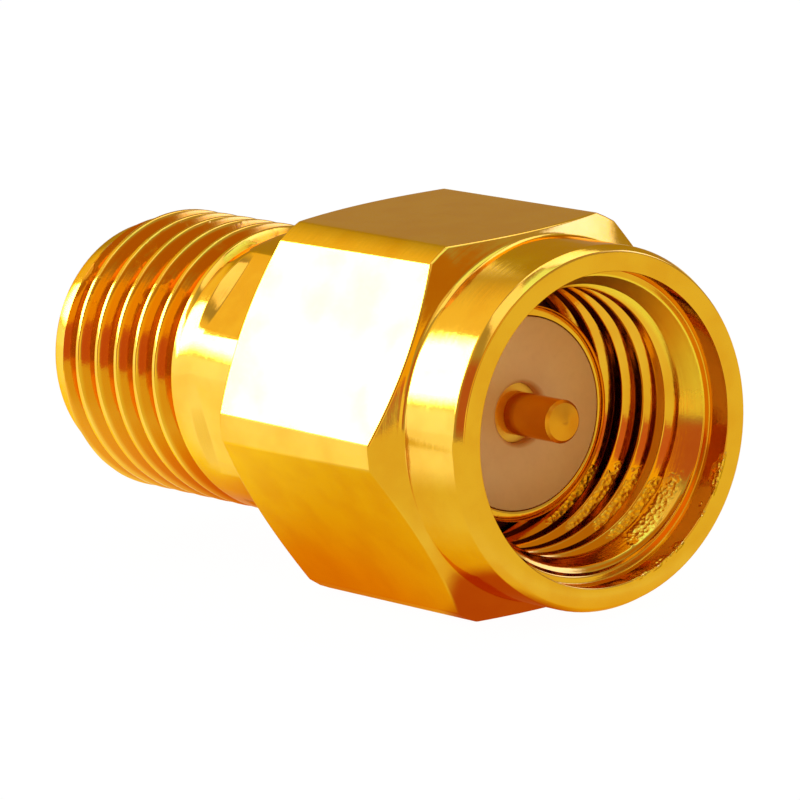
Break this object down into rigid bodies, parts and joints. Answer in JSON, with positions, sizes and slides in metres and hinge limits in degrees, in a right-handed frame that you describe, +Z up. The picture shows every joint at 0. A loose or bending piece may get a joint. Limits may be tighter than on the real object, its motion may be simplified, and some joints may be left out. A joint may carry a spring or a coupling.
{
  "type": "coaxial attenuator",
  "caption": "Short fixed coaxial attenuator with a threaded jack at one end and a centre-pin plug with a loose hexagonal coupling nut at the other.",
  "frame": {"origin": "centre of the bounding box's bottom, with the coupling nut lying on one of its flats", "axes": "+X along the connector's axis towards the plug's mouth, +Z up"},
  "size_m": [0.0158, 0.009, 0.008],
  "materials": {
    "gold_plate": "polished gold plating on brass",
    "contact_gold": "polished gold plating on copper alloy",
    "ring_bronze": "plain spring bronze",
    "insulator_white": "milky smooth fluoropolymer",
    "gasket_rubber": "soft silicone rubber",
    "chip_ceramic": "fired ceramic",
    "film_resistor": "printed resistor film",
    "film_silver": "printed silver conductor"
  },
  "bodies": {
    "connector": {"jack_body": "gold_plate", "plug_body": "gold_plate", "gasket": "gasket_rubber", "plug_insulator": "insulator_white", "jack_insulator": "insulator_white", "plug_pin": "contact_gold", "jack_socket": "contact_gold", "carrier_upper": "gold_plate", "carrier_lower": "gold_plate", "chip_substrate": "chip_ceramic", "input_pad": "film_silver", "output_pad": "film_silver", "centre_pad": "film_silver", "series_film_input": "film_resistor", "series_film_output": "film_resistor", "shunt_film_left": "film_resistor", "shunt_film_right": "film_resistor", "ground_strip_left": "film_silver", "ground_strip_right": "film_silver"},
    "split_ring": {"retaining_ring": "ring_bronze"},
    "nut": {"coupling_nut": "gold_plate"}
  },
  "joints": [
    {"name": "nut_turn", "type": "hinge", "parent": "connector", "child": "split_ring", "pos_m": [0.0013, 0, 0.004], "axis": [1, 0, 0], "continuous": true},
    {"name": "nut_float", "type": "slide", "parent": "split_ring", "child": "nut", "axis": [1, 0, 0], "range_m": [-0.00015, 0.00015]}
  ]
}
